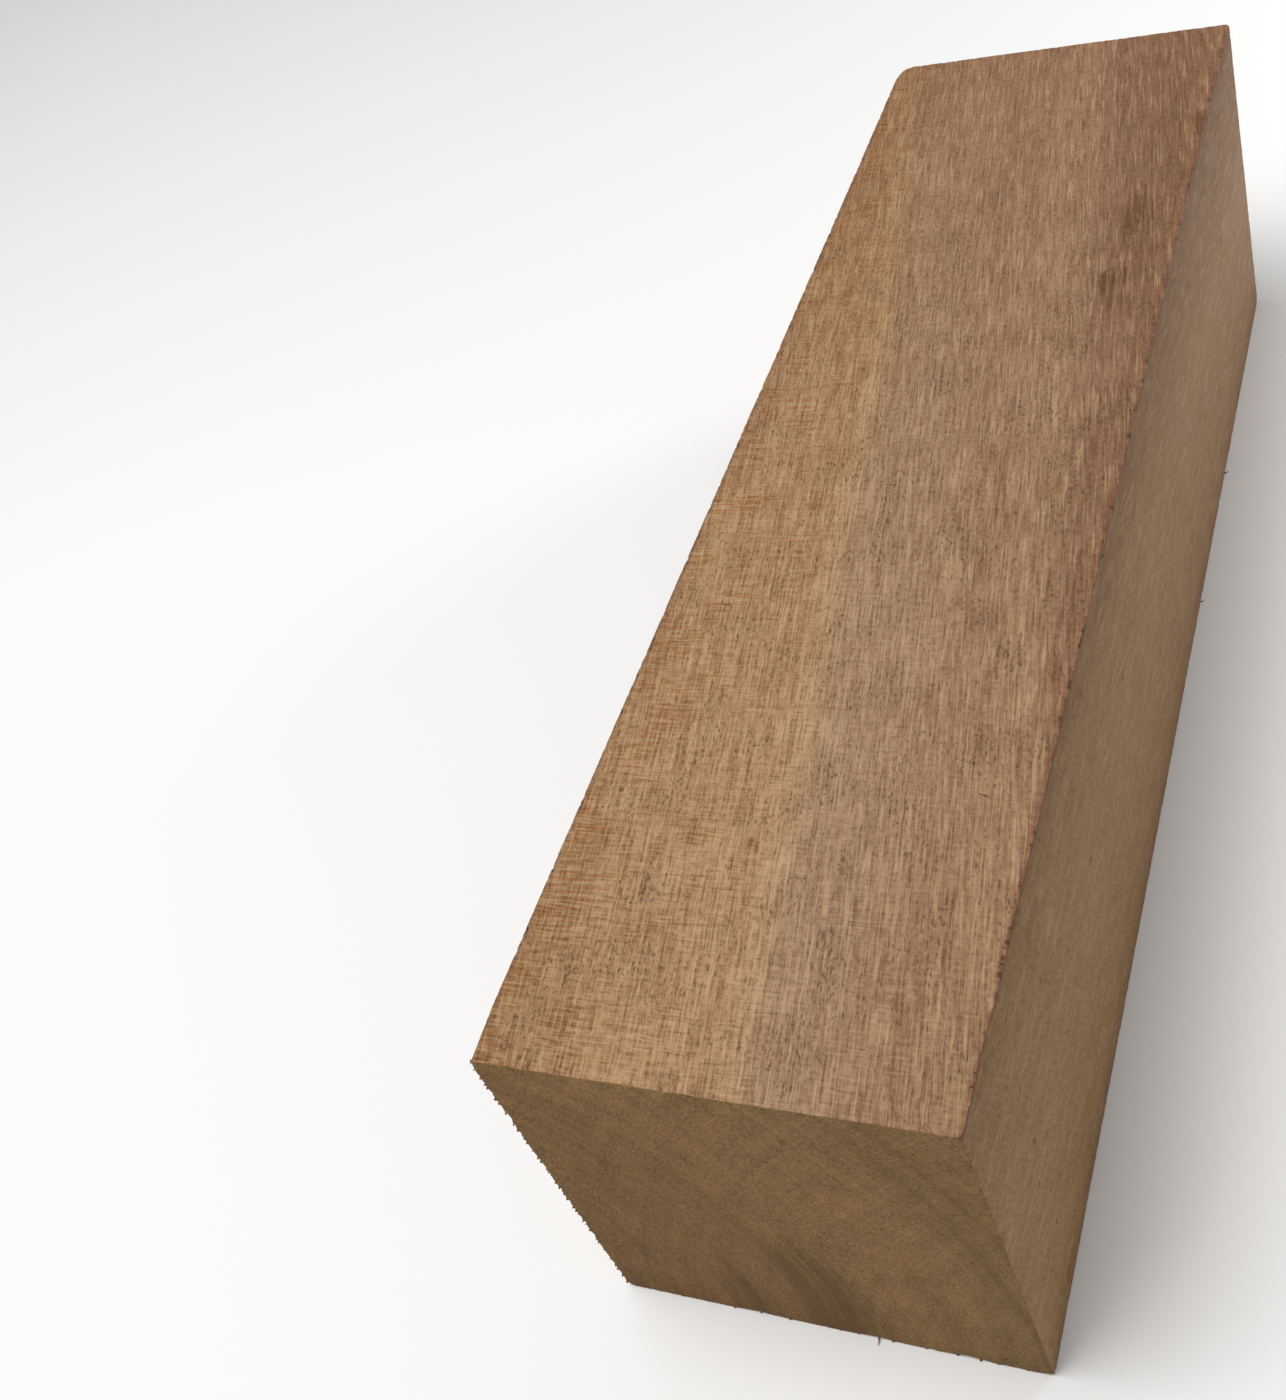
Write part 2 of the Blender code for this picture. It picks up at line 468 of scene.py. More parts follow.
class Finish(Bench):
    """One finish of the wood: its colour as it is built up, and the groups that all finishes share."""

    def __init__(self, name, colors):
        self.material, self.surface = start_material(name)
        super().__init__(self.material.node_tree)
        self.colors = colors
        self.wood = None

        # The Object coordinates, in millimetres
        self.place = self.scaled(self.add("ShaderNodeTexCoord").outputs["Object"], 1 / MM)

    def color(self, name):
        return opaque(getattr(self.colors, name))

    def shared(self, name, build, **values):
        """The outputs of a group, built on its first use. Its inputs are given in small letters."""
        group = bpy.data.node_groups.get(name) or build(name)
        node = self.add("ShaderNodeGroup", node_tree=group)
        return self.feed_named(node, {key.capitalize(): value for key, value in values.items()})

    def curled(self, reach, length):
        """The place moved to and fro by up to about half the reach, in curls of this length."""
        curl = self.noise(self.place, scale=1 / length, result="Color")
        shift = self.vectors("SUBTRACT", curl, (0.5, 0.5, 0.5))
        return self.vectors("ADD", self.place, self.scaled(shift, reach))

    def arcs(self, centre, axes, radius):
        """The place laid out along the arcs of a saw: out from its centre, round it, and on past it."""
        parts = self.split(self.place)
        first, second = (self.maths("SUBTRACT", parts[a], at) for a, at in zip(axes, centre))
        swing = self.vectors("LENGTH", self.join(first, second, 0.0), result="Value")
        turn = self.times(self.maths("ARCTAN2", second, first), radius)
        return self.join(swing, turn, parts[3 - sum(axes)])

    def grain(self, place, **values):
        """Noise drawn out along the fibres."""
        return self.shared("iroko_grain", grain_group, place=place, **values)["Mask"]

    def threads(self, place, **values):
        """Thin winding ridges, and a line on one side of them, which is painted as their highlight."""
        drawn = self.shared("iroko_grain", grain_group, place=place, **values)
        return drawn["Line"], drawn["Shade"]

    def strokes(self, place, **values):
        return self.shared("iroko_pores", pores_group, place=place, **values)["Mask"]

    def mark(self, waver, middle, reach, strength):
        """A soft stain or pit, whose edge wavers."""
        values = {"place": self.place, "middle": middle, "reach": reach, "waver": waver}
        return self.times(self.shared("iroko_mark", mark_group, **values)["Mask"], strength)

    def weighted(self, *parts):
        """The sum of several values, each less its middle of a half and times its weight."""
        total = 0.0
        for value, weight in parts:
            total = self.maths("MULTIPLY_ADD", self.maths("SUBTRACT", value, 0.5), weight, total)
        return total

    def lay_rings(self, waver):
        """Colours the wood by its distance from the pith, and returns that distance."""
        radius = self.shared("iroko_rings", rings_group, place=self.place, waver=waver)["Radius"]
        inner, outer = RINGS[0][0], RINGS[-1][0]
        node = self.add("ShaderNodeValToRGB")
        self.feed(node.inputs["Fac"], self.ramp(radius, inner, outer))
        stops = node.color_ramp.elements
        while len(stops) < len(RINGS):
            stops.new(0.5)
        for stop, (at, name) in zip(stops, RINGS):
            stop.position = (at - inner) / (outer - inner)
            stop.color = self.color(name)
        self.wood = node.outputs["Color"]
        return radius

    def even_out(self, color, amount):
        self.wood = self.mix(amount, self.wood, color)

    def stain(self, name, strength, mask):
        """Mixes the wood with one of its colours, where the mask lets it."""
        self.even_out(self.color(name), self.times(mask, strength))

    def multiply(self, hue, mask=1.0):
        self.wood = self.mix(mask, self.wood, hue, "MULTIPLY")

    def tint(self, tone, darkest=DARKEST, lightest=LIGHTEST):
        """Makes the wood darker and redder where the tone is below zero, and lighter above it."""
        self.multiply(self.mix(self.ramp(tone, -0.6, 0.6), darkest, lightest))

    def paint_arris_wear_and_shade(self):
        """Gives the wood the rusty fringe of its arrises, and darkens their chips and dashes, partly as
        darker torn wood and partly as painted shade in them.
        """
        arris = self.shared("iroko_arris", arris_group, place=self.place)
        chips = self.grain(
            self.place, size=(6.0, 2.6, 6.0), shift=(0.0, 0.0, 2.0), detail=2.0, roughness=0.8
        )
        fringe = self.times(self.ramp(arris["Distance"], 1.6, 0.2), self.ramp(chips, 0.38, 0.52))
        self.stain("rust", 0.6, fringe)
        # The chips darken the deeper they go: partly darker torn wood, partly painted shade in the hollows
        self.stain("rust", 0.45, self.ramp(arris["Depth"], 0.15, 0.4))
        # Dark dashes along the arrises: partly dark torn wood, partly painted shade of small notches
        dashes = self.times(self.ramp(arris["Distance"], 1.0, 0.6), self.ramp(chips, 0.60, 0.63))
        self.stain("pore", 0.85, dashes)

    def complete(self, height, depth, roughness):
        """Paints the rusty fringe of the arrises and the painted shade of their chips, and feeds colour,
        normal and roughness to the surface.
        """
        self.paint_arris_wear_and_shade()
        bump = {"Strength": 1.0, "Distance": depth, "Height": height}
        normal = self.feed_named(self.add("ShaderNodeBump"), bump)["Normal"]
        self.feed(self.surface["Base Color"], self.wood)
        self.feed(self.surface["Normal"], normal)
        self.feed(self.surface["Roughness"], roughness)
        return self.material


# Stains on the top: middle and reach in millimetres, and strength
TOP_STAINS = (
    ((36.0, 91.5, 100.0), (5.0, 12.0, 6.0), 0.6),
    ((35.0, 60.5, 100.0), (7.0, 6.5, 6.0), 0.8),
    ((38.0, 52.5, 100.0), (5.0, 4.0, 6.0), 0.5),
    ((49.0, 132.5, 100.0), (3.0, 6.0, 3.0), 0.9),
    ((-47.0, -70.0, 100.0), (4.0, 12.0, 6.0), 0.35),
)


def band_sawn(colors):
    """The rough faces: pale lifted fibres crossed by the lines of the band saw, with torn grain."""
    face = Finish("iroko_band_sawn", colors)
    curled = face.curled(reach=0.38, length=4.5)
    across, along, up = face.split(face.place)
    radius = face.lay_rings(waver=5.0)

    # The saw bit hardest on the left of the near half
    bite = face.ramp(face.maths("MULTIPLY_ADD", along, 0.35, across), -125.0, 30.0, 1.0, 0.06)

    patches = face.grain(face.place, size=(11.0, 15.0, 11.0), shift=(3.0, 0.0, 0.0), detail=1.0)
    growth = face.join(face.maths("DIVIDE", radius, 4.5), face.maths("DIVIDE", along, 160.0), 0.0)
    growth = face.noise(growth, detail=1.0, roughness=0.6)
    fibres = face.grain(curled, lean=TOP_LEAN, size=(1.3, 34.0, 1.3), detail=2.0, roughness=0.9)
    saw_lines = face.grain(
        curled, size=(14.0, 1.1, 14.0), shift=(0.0, 5.0, 0.0), detail=1.0, roughness=0.95
    )
    fine = face.grain(curled, lean=TOP_LEAN, size=(0.42, 11.0, 0.42), shift=(9.0, 0.0, 0.0))
    breaks = face.grain(curled, lean=TOP_LEAN, size=(1.8, 9.0, 1.8), low=0.38, high=0.62)
    cross = face.grain(curled, size=(4.6, 0.42, 4.6), shift=(0.0, 0.0, 6.0))
    ribbed = face.times(face.ramp(patches, 0.38, 0.62, 0.4, 1.25), bite)
    speckle = face.grain(curled, lean=TOP_LEAN, size=(0.8, 1.4, 0.8), detail=1.0, roughness=0.9)
    tone = face.weighted(
        (fibres, face.maths("MULTIPLY_ADD", bite, -0.2, 0.65)),
        (saw_lines, face.times(bite, 0.4)),
        (fine, face.ramp(along, -60.0, 120.0, 1.0, 0.65)),
        (cross, ribbed),
        (speckle, 1.0),
        (breaks, 0.1),
        (patches, 0.35),
        (growth, 0.4),
    )
    # Painted light: the top is lighter over its near half and darker towards the far end, as the light falls
    # off along it. It is also darker along the left edge, and darker towards the right, partly as painted
    # shade and partly as the wood's own tone
    leftwards = face.maths("MULTIPLY_ADD", along, -0.06, across)
    shade = face.total(
        face.ramp(along, -182.0, -130.0, 0.08, 0.12),
        face.ramp(along, -80.0, 70.0, 0.0, -0.15),
        face.ramp(leftwards, -40.0, -48.0, 0.0, -0.10),
        face.ramp(across, 22.0, 48.0, 0.0, -0.07),
    )
    face.tint(face.total(tone, shade))
    face.multiply(FAR_HUE, face.ramp(along, 20.0, 170.0))
    face.multiply(RIGHT_HUE, face.ramp(across, 18.0, 46.0))
    mottles = face.times(
        face.ramp(patches, 0.40, 0.58),
        face.ramp(saw_lines, 0.54, 0.42),
        face.ramp(up, 60.0, 98.0, 0.4, 1.0),
        face.ramp(across, -6.0, -46.0),
    )
    face.multiply(RUSSET_HUE, mottles)

    # Paler raised fibres and saw ridges, darker furrows and cuts between them: partly the paler torn fibre
    # and darker wood, partly painted light on the raised parts and painted shade in the hollows
    lifted = face.times(face.ramp(fine, 0.57, 0.70), breaks)
    face.stain("fibre", 0.38, lifted)
    ridges = face.times(face.ramp(cross, 0.60, 0.70), ribbed)
    face.stain("fibre", 0.28, ridges)
    cuts = face.times(face.ramp(cross, 0.38, 0.30), face.ramp(speckle, 0.54, 0.42), bite)
    face.stain("rust", 0.4, cuts)
    furrows = face.times(face.ramp(fine, 0.42, 0.31), face.ramp(speckle, 0.56, 0.40))
    face.stain("rust", 0.25, furrows)

    # Torn grain: dark torn lines, each with a painted highlight in the pale fibre colour along one side
    torn, painted_highlight_beside_torn = face.threads(
        curled, lean=TOP_LEAN, size=(0.8, 3.0, 0.8), shift=(0.0, 0.0, 8.0), width=0.09
    )
    torn_where = face.times(face.ramp(patches, 0.49, 0.42), face.ramp(speckle, 0.47, 0.40))
    face.stain("fibre", 0.5, face.times(painted_highlight_beside_torn, torn_where))
    pores = face.strokes(curled, lean=TOP_LEAN, cell=(1.1, 4.6, 1.1), thickness=0.25, share=0.2)
    marks = face.maths("MAXIMUM", face.times(torn, torn_where), pores)
    marks = face.times(marks, face.ramp(along, 100.0, 0.0, 0.4, 1.0))
    face.stain("pore", 0.6, marks)
    waver = face.weighted((fibres, 4.0))
    stains = face.strongest(face.mark(waver, *stain) for stain in TOP_STAINS)
    face.multiply(STAIN_HUE, stains)

    height = face.weighted((fine, 0.9), (cross, ribbed), (speckle, 0.5), (marks, -0.15))
    return face.complete(height, ROUGH_BUMP, face.ramp(fibres, 0.3, 0.7, 0.8, 0.66))


# Pits in the smooth right side: how far along and up their middle is, and how long and high they
# are, in millimetres, and their strength
SIDE_PITS = (
    (-157.5, 54.0, 1.0, 1.5, 1.0),
    (-161.5, 44.0, 0.8, 1.3, 0.7),
    (-90.5, 57.0, 1.1, 1.3, 0.9),
    (-161.5, 81.0, 0.8, 1.1, 0.7),
    (-133.5, 74.0, 1.0, 1.0, 0.7),
    (-42.5, 63.0, 1.6, 2.2, 0.5),
    (-73.5, 92.0, 1.6, 1.4, 0.6),
    (-86.5, 44.0, 0.9, 1.1, 0.7),
    (133.5, 59.0, 2.0, 1.4, 0.8),
    (8.5, 42.0, 1.4, 1.6, 0.6),
    (-159.5, 24.0, 0.8, 1.4, 0.7),
    (-94.0, 91.0, 3.2, 0.6, 0.5),
    (-120.0, 68.0, 1.2, 1.6, 0.4),
)
PIT_DEPTH = 3.0


def fine_sawn(colors):
    """The smoother faces: soft streaks along the fibres, faint scratches and a few pits."""
    face = Finish("iroko_fine_sawn", colors)
    curled = face.curled(reach=2.2, length=6.0)
    _, along, up = face.split(face.place)
    far = face.ramp(along, -150.0, 180.0)
    face.lay_rings(waver=9.0)
    # Towards the far end the smooth faces turn bluer, partly as the wood's tone and partly as a painted cool
    # sheen
    face.even_out(face.mix(far, SIDE_NEAR, SIDE_FAR_TONE_AND_SHEEN), 0.7)
    patches = face.grain(face.place, size=(12.0, 17.0, 12.0), shift=(3.0, 0.0, 0.0), detail=2.0)
    face.multiply(face.mix(face.ramp(patches, 0.35, 0.65), YELLOW_HUE, GREY_HUE))

    streaks = face.grain(curled, lean=SIDE_LEAN, size=(3.6, 14.0, 3.6), detail=2.0, roughness=0.75)
    speckle = face.grain(curled, size=(0.7, 1.3, 0.7), detail=1.0, roughness=0.8)
    arc = face.arcs(SIDE_ARC_CENTRE, (1, 2), SIDE_ARC_RADIUS)
    scratches = face.grain(arc, size=(0.9, 5.0, 60.0), detail=1.0, roughness=0.9)
    scratched = face.ramp(far, 0.0, 0.6, 0.75, 0.15)
    tone = face.weighted((streaks, 0.38), (scratches, scratched), (speckle, 0.8), (patches, 0.25))
    # Darker towards the upper arris, most of all towards the far end, and painted shade along the bottom,
    # next to the floor
    shade = face.total(
        face.ramp(up, 78.0, 100.0, 0.0, -0.16),
        face.ramp(up, 16.0, 0.0, 0.0, -0.06),
        face.times(face.ramp(up, 55.0, 80.0), face.ramp(far, 0.0, 1.0, 0.4, 1.0), -0.19),
    )
    face.tint(face.total(tone, shade))
    face.multiply(UPPER_HUE, face.ramp(up, 60.0, 98.0))
    far_arris = face.times(face.ramp(up, 94.0, 98.0), face.ramp(far, 0.4, 1.0))
    face.multiply(ARRIS_HUE, far_arris)

    pale = face.grain(
        curled, lean=SIDE_LEAN, size=(1.4, 9.0, 1.4), shift=(0.0, 0.0, 3.0), low=0.58, high=0.8
    )
    face.stain("fibre", 0.3, pale)
    low_and_high = face.maths("MAXIMUM", face.ramp(up, 86.0, 99.0), face.ramp(up, 9.0, 1.0))
    reddish = face.times(low_and_high, face.ramp(patches, 0.4, 0.6, 0.15, 1.0))
    face.stain("rust", 0.35, reddish)
    waver = face.weighted((speckle, 0.8))
    pits = face.strongest(
        face.mark(waver, (HIGH.x / MM, place, height), (PIT_DEPTH, long, high), strength)
        for place, height, long, high, strength in SIDE_PITS
    )
    flecks = face.strokes(curled, lean=SIDE_LEAN, cell=(1.8, 4.0, 1.8), thickness=0.12, share=0.35)
    face.stain("pore", 0.9, face.maths("MAXIMUM", pits, face.times(flecks, 0.7)))

    height = face.weighted((speckle, 0.5), (scratches, scratched))
    return face.complete(height, SMOOTH_BUMP, face.ramp(streaks, 0.3, 0.7, 0.76, 0.64))


# Dark and pale lines of the end grain: radius from the pith and width in millimetres, and strength
GUM_RINGS = (
    (79.0, 1.6, 0.2),
    (86.5, 1.6, 0.3),
    (93.4, 1.6, 1.0),
    (149.0, 5.0, 0.4),
    (156.0, 4.0, 0.35),
)
PALE_RINGS = ((91.2, 2.2, 0.6), (95.6, 2.2, 0.6))

# Dark bands of the end grain: inner and outer radius, how high up they reach, and strength
HEART_BANDS = ((93.0, 112.5, 45.0, 1.0), (77.0, 86.0, 24.0, 0.8))


def ring_lines(face, radius, rings):
    """Thin lines along growth rings."""
    for at, width, strength in rings:
        apart = face.maths("ABSOLUTE", face.maths("SUBTRACT", radius, at))
        yield face.times(face.ramp(apart, width / 2, 0.0, soft=True), strength)


def heart_bands(face, radius, up):
    """Bands of dark wood, each sharp on its outer side, that fade upwards."""
    for inner, outer, top, strength in HEART_BANDS:
        width = outer - inner
        yield face.times(
            face.ramp(radius, inner, inner + 0.5 * width, 0.3, 1.0),
            face.ramp(radius, outer, outer - 0.15 * width),
            face.ramp(radius, inner - 1.0, inner),
            face.ramp(up, top, 0.7 * top, 0.0, strength),
        )


def end_grain(colors):
    """Both ends: fine pores, gum rings, dark wood and the arcs of the crosscut saw."""
    face = Finish("iroko_end_grain", colors)
    across, along, up = face.split(face.place)
    radius = face.lay_rings(waver=4.0)
    face.multiply(END_HUE)
    face.even_out(END_EVEN, 0.6)

    arc = face.arcs(BLADE_CENTRE, (0, 2), BLADE_RADIUS)
    scratches = face.grain(arc, size=(0.5, 1.7, 60.0), detail=1.0, roughness=0.9)
    sweeps = face.grain(arc, size=(2.4, 40.0, 60.0), detail=1.0, roughness=0.8)
    grit = face.grain(face.place, size=(0.45, 40.0, 0.45), detail=1.0, roughness=0.8)
    clouds = face.grain(face.place, size=(10.0, 60.0, 10.0), detail=1.0, roughness=0.7)
    growth = face.join(face.maths("DIVIDE", radius, 2.6), face.maths("DIVIDE", up, 90.0), along)
    growth = face.noise(growth, detail=2.0, roughness=0.7)
    lower_left = face.ramp(face.maths("MULTIPLY_ADD", up, 0.6, across), 30.0, -35.0, 0.0, 0.85)
    face.even_out(END_LOWER_LEFT, lower_left)
    tone = face.weighted(
        (scratches, 1.0), (sweeps, 0.5), (grit, 1.5), (clouds, 0.5), (growth, 0.6)
    )
    tone = face.total(tone, face.ramp(up, 34.0, 0.0, 0.0, -0.1))
    face.tint(tone, END_DARKEST, END_LIGHTEST)

    dots = face.strokes(face.place, cell=(0.9, 9.0, 0.9), thickness=0.26, share=0.5)
    face.stain("pore", 0.45, dots)
    face.stain("ochre", 0.5, face.strongest(ring_lines(face, radius, PALE_RINGS)))
    dark = [*ring_lines(face, radius, GUM_RINGS), *heart_bands(face, radius, up)]
    dark = face.times(face.strongest(dark), face.ramp(growth, 0.62, 0.44, 0.45, 1.0))
    face.stain("gum", 0.75, dark)

    height = face.weighted((scratches, 1.0), (sweeps, 0.4))
    return face.complete(height, END_BUMP, face.ramp(scratches, 0.3, 0.7, 0.82, 0.7))


def deselect_all():
    if bpy.context.object and bpy.context.object.mode != "OBJECT":
        bpy.ops.object.mode_set(mode="OBJECT")
    bpy.ops.object.select_all(action="DESELECT")


def make_active(obj):
    deselect_all()
    obj.select_set(True)
    bpy.context.view_layer.objects.active = obj


def select_edges(obj, wanted):
    """Selects, in edit mode, the edges whose two ends pass the test. Returns how many."""
    bpy.ops.mesh.select_mode(type="EDGE")
    bpy.ops.mesh.select_all(action="DESELECT")
    bm = bmesh.from_edit_mesh(obj.data)
    chosen = [edge for edge in bm.edges if wanted(*(vert.co for vert in edge.verts))]
    for edge in chosen:
        edge.select_set(True)
    bmesh.update_edit_mesh(obj.data)
    return len(chosen)


def runs_along(start, end, axis, least):
    """True for an edge that runs along this axis and is longer than least."""
    step = end - start
    return abs(step[axis]) > least and step.length - abs(step[axis]) < TINY


def score_margins():
    """Cuts the block that is being edited all round, close beside its arrises."""
    for axis in range(3):
        across = Vector(1.0 if a == axis else 0.0 for a in range(3))
        for margin in RIM_MARGINS:
            for place in (LOW[axis] + margin, HIGH[axis] - margin):
                bpy.ops.mesh.select_all(action="SELECT")
                bpy.ops.mesh.bisect(plane_co=across * place, plane_no=across, threshold=TINY)


def split_edges(obj, axis, least, spacing, inside=lambda start, end: True):
    """Subdivides the edges along an axis that are longer than least, to about the given spacing."""

    def wanted(start, end):
        return runs_along(start, end, axis, least) and inside(start, end)

    if not select_edges(obj, wanted):
        raise RuntimeError(f"the block has no edge to split along axis {axis}")
    span = max(
        abs((edge.verts[1].co - edge.verts[0].co)[axis])
        for edge in bmesh.from_edit_mesh(obj.data).edges
        if edge.select
    )
    parts = math.ceil(span / spacing)
    stages = math.ceil(parts / MOST_CUTS)
    if stages > 1:
        bpy.ops.mesh.subdivide(number_cuts=stages - 1)
        select_edges(obj, wanted)
    bpy.ops.mesh.subdivide(number_cuts=math.ceil(parts / stages) - 1)


def beside_end_arris(start, end):
    """True for an edge that lies close to an arris of one of the two ends."""
    middle = (start + end) / 2
    inside = sorted(min(middle[a] - LOW[a], HIGH[a] - middle[a]) for a in range(3))
    from_end = min(middle.y - LOW.y, HIGH.y - middle.y)
    return inside[1] < RIM_WIDTH + TINY and from_end < RIM_WIDTH + TINY


def fit_to_solid(obj, node):
    """Lays every point on the nearest surface of a CAD node."""
    wrap = obj.modifiers.new("fit", "SHRINKWRAP")
    wrap.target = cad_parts[node]
    wrap.wrap_method = "NEAREST_SURFACEPOINT"
    bpy.ops.object.modifier_apply(modifier=wrap.name)


def smooth_step(value, low, high):
    share = max(0.0, min(1.0, (value - low) / (high - low)))
    return share * share * (3.0 - 2.0 * share)


def wave(place, waves):
    """The height of one kind of waves here, from -1 to 1."""
    lengths, shift = waves
    where = place / MM
    return noise.noise(Vector(where[a] / lengths[a] + shift[a] for a in range(3)))


def rough_height(place, settings):
    """How far the rough faces stand off a true plane at this place."""
    ridges = wave(place, SAW_RIDGES) + wave(place, FINE_RIDGES)
    return settings.ridge_height * ridges + settings.wander * wave(place, ROUGH_WAVES)


def smooth_height(place, settings):
    ripple = 0.3 * settings.ridge_height * wave(place, RIPPLES)
    return settings.wander * wave(place, SMOOTH_WAVES) + ripple


def nick_depth(place, settings):
    """How deep an arris is nicked here. The crosscut tore the near left arris the most."""
    near_left = place.x < LOW.x + TORN_REACH and place.y < LOW.y + TORN_REACH
    depth = settings.raggedness * (TORN_MORE if near_left else 1.0)
    return depth * max(0.0, wave(place, NICKS) + 0.5 * wave(place, LONG_NICKS))


def roughen_points(obj, settings):
    """Moves the points off the true planes: saw ridges on the faces and nicks along the arrises."""
    for vert in obj.data.vertices:
        place = vert.co.copy()
        inside = [min(place[a] - LOW[a], HIGH[a] - place[a]) for a in range(3)]
        order = sorted(range(3), key=lambda a: inside[a])
        outward = [1.0 if place[a] > CENTRE[a] else -1.0 for a in range(3)]
        face, second = order[0], order[1]
        fine = face == 1 or (face == 0 and outward[0] > 0) or (face == 2 and outward[2] < 0)
        height = smooth_height(place, settings) if fine else rough_height(place, settings)
        if face == 2 and outward[2] < 0:
            height = min(0.0, height)
        off_arris = smooth_step(inside[second], *OFF_ARRIS)
        vert.co[face] += outward[face] * height * off_arris
        on_arris = 1.0 - smooth_step(inside[second], *NICKED)
        if on_arris > 0.0:
            nick = nick_depth(place, settings) * on_arris
            for axis in (face, second):
                vert.co[axis] -= outward[axis] * nick
    obj.data.update()


def assign_finishes(obj):
    """Band-sawn on the top and the left, fine-sawn on the right and underneath, end grain on the ends."""
    for polygon in obj.data.polygons:
        normal = polygon.normal
        if abs(normal.y) > FACING:
            polygon.material_index = END_GRAIN
        elif normal.x > FACING or normal.z < -FACING:
            polygon.material_index = FINE_SAWN
        else:
            polygon.material_index = BAND_SAWN


class IROKO_OT_sawn_block(bpy.types.Operator):
    """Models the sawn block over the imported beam, with the marks of both saws"""

    bl_idname = "iroko.sawn_block"
    bl_label = "Sawn block"
    bl_options = {"REGISTER", "UNDO"}

    def execute(self, context):
        settings = context.scene.iroko_beam
        deselect_all()
        bpy.ops.mesh.primitive_cube_add(size=1.0, location=CENTRE, scale=SIZE)
        block = context.object
        block.name = block.data.name = "sawn_block"
        bpy.ops.object.transform_apply(location=True, rotation=True, scale=True)
        bpy.ops.object.mode_set(mode="EDIT")
        score_margins()
        for axis in (0, 2):
            split_edges(block, axis, FACE_EDGE, settings.column_spacing)
        split_edges(block, 1, FACE_EDGE, settings.row_spacing)
        for axis in (0, 2):
            split_edges(block, axis, COLUMN_EDGE, settings.rim_spacing, beside_end_arris)
        bpy.ops.object.mode_set(mode="OBJECT")
        fit_to_solid(block, "beam")
        roughen_points(block, settings)
        for finish in (band_sawn, fine_sawn, end_grain):
            block.data.materials.append(finish(context.scene.iroko_colors))
        assign_finishes(block)
        make_active(block)
        bpy.ops.object.shade_smooth_by_angle(angle=SMOOTH_ANGLE)
        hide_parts("beam")
        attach(block, "root")
        return {"FINISHED"}


# The middle line of a stub and of a splinter, each a millimetre long: every step along it, and how
# much narrower it gets
STUB_STEPS = (
    ((0.00, 0.00, 0.50), 0.95),
    ((0.02, 0.01, 0.34), 0.76),
    ((0.02, 0.01, 0.12), 0.40),
)
SPLINTER_STEPS = (
    ((0.02, 0.00, 0.28), 0.88),
    ((0.06, 0.02, 0.27), 0.80),
    ((0.12, 0.00, 0.24), 0.66),
    ((0.17, -0.03, 0.19), 0.45),
)

# Single splinters: root in millimetres, the way it points and the way it bends, length in
# millimetres, thickness against an ordinary one, and whether it is dark
PLACED_SPLINTERS = (
    ((11.7, -182.5, 0.5), (0.35, -1.0, -0.05), (-1.0, 0.0, 0.1), 2.0, 1.3, True),
    ((50.0, 97.1, 0.6), (1.0, 0.1, 0.1), (0.0, 1.0, 0.0), 1.4, 2.0, True),
    ((50.0, 42.9, 0.6), (1.0, -0.2, 0.1), (0.0, 1.0, 0.0), 1.3, 1.8, True),
    ((-49.6, -182.2, 99.5), (-0.8, -0.5, -0.2), (0.0, 0.0, -1.0), 0.8, 3.0, False),
    ((37.2, -107.8, 99.95), (1.0, -0.25, 0.12), (0.0, -1.0, -0.3), 3.2, 1.0, True),
    ((49.9, -40.2, 99.6), (0.5, 1.0, 0.2), (0.0, 1.0, 0.0), 2.2, 1.4, True),
)

# Where along their arrises the stubs and the fibres stand: from and to
STUBS = (LOW.z + 1.5 * MM, HIGH.z - 1.5 * MM)
LOWER_STUBS = (LOW.x + 2 * MM, HIGH.x - 4 * MM)
FIBRES = (LOW.y + 8 * MM, HIGH.y - 8 * MM)

# The distances between them, in millimetres: the least and the most
STUB_GAPS = (1.2, 5.0)
LOWER_STUB_GAPS = (2.5, 8.0)
FIBRE_GAPS = (2.8, 11.2)

# Between these heights the stubs get longer
LONGER_STUBS = (HIGH.z - 30 * MM, HIGH.z - 10 * MM)

# How far in from their arrises the lower stubs and the fibres have their roots
STUB_INSET = 0.35 * MM
FIBRE_INSET = 0.25 * MM
DARK_SHARE = 0.45


def model_splinter(radius, steps):
    """One splinter or stub, a millimetre long, that stands on the origin and points along Z."""
    deselect_all()
    bpy.ops.mesh.primitive_circle_add(vertices=5, radius=radius, fill_type="NGON")
    splinter = bpy.context.object
    bpy.ops.object.mode_set(mode="EDIT")
    bpy.ops.mesh.select_all(action="SELECT")
    middle = Vector((0.0, 0.0, 0.0))
    for step, narrower in steps:
        bpy.ops.mesh.extrude_region_move(TRANSFORM_OT_translate={"value": Vector(step) * MM})
        middle += Vector(step) * MM
        bpy.ops.transform.resize(value=(narrower, narrower, narrower), center_override=middle)
    bpy.ops.mesh.merge(type="CENTER")
    bpy.ops.mesh.select_all(action="SELECT")
    bpy.ops.mesh.normals_make_consistent(inside=False)
    bpy.ops.object.mode_set(mode="OBJECT")
    bpy.ops.object.shade_smooth()
    return splinter


def end_stubs(draw, length):
    """Short stubs that the crosscut left on the near left arris, longest at its top, and on the
    lower arris of the near end."""
    height = STUBS[0]
    while height < STUBS[1]:
        root = Vector((LOW.x, LOW.y, height))
        points = (-1.0, draw.uniform(-0.4, 0.1), draw.uniform(-0.5, 0.4))
        reach = length * (0.9 + 0.4 * smooth_step(height, *LONGER_STUBS))
        yield root, points, (0, 0, -1), reach * draw.uniform(0.5, 1.0), draw.uniform(1.2, 3.2), False
        height += draw.uniform(*STUB_GAPS) * MM
    across = LOWER_STUBS[0]
    while across < LOWER_STUBS[1]:
        root = Vector((across, LOW.y, LOW.z + STUB_INSET))
        points = (draw.uniform(-0.6, 0.6), -1.0, 0.0)
        yield root, points, (1, 0, 0), length * draw.uniform(0.6, 1.4), draw.uniform(1.0, 2.4), True
        across += draw.uniform(*LOWER_STUB_GAPS) * MM


